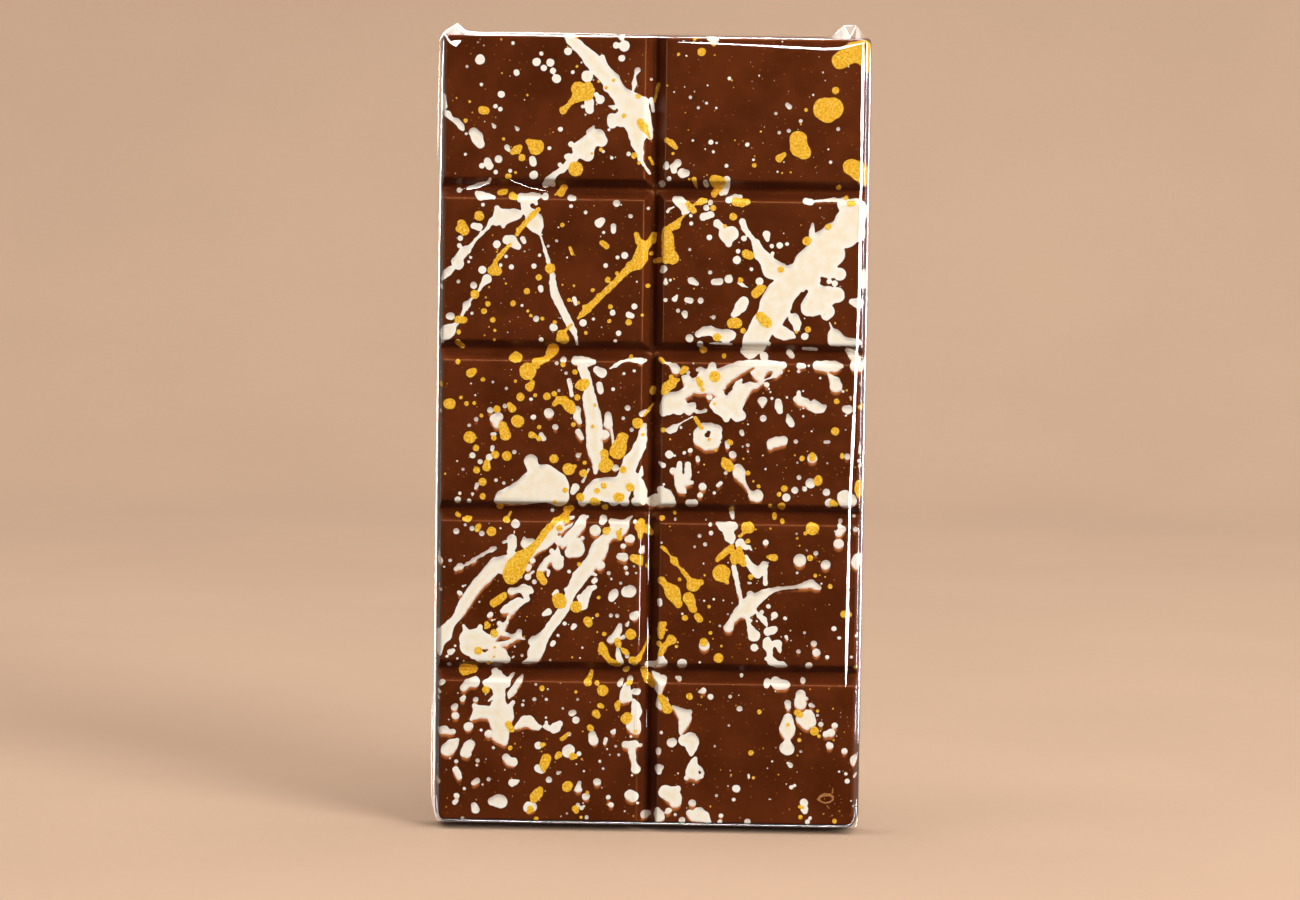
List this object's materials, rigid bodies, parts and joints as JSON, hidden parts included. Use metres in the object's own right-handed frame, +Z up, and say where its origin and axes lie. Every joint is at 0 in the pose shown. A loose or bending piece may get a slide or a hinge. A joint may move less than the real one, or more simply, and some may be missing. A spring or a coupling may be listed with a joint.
{
  "type": "chocolate bar",
  "caption": "Moulded chocolate tablet scored into bevelled squares, splashed with ivory and gold, standing upright in a tight clear film wrap with pinched upper corners.",
  "frame": {"origin": "middle of the wrapped bar's footprint, on the surface that it stands on", "axes": "+Z up along the bar's length, +X across the bar to the right as seen from the front, and the faces of the squares look along -Y"},
  "size_m": [0.0826, 0.0094, 0.1553],
  "materials": {
    "chocolate": "moulded satin gloss",
    "clear_film": "clear gloss film",
    "ivory_splash": "flush cocoa butter, satin",
    "gold_splash": "flush cocoa butter with fine shimmer"
  },
  "bodies": {
    "root": {"chocolate_bar": "chocolate", "film_wrap": "clear_film"}
  },
  "joints": []
}
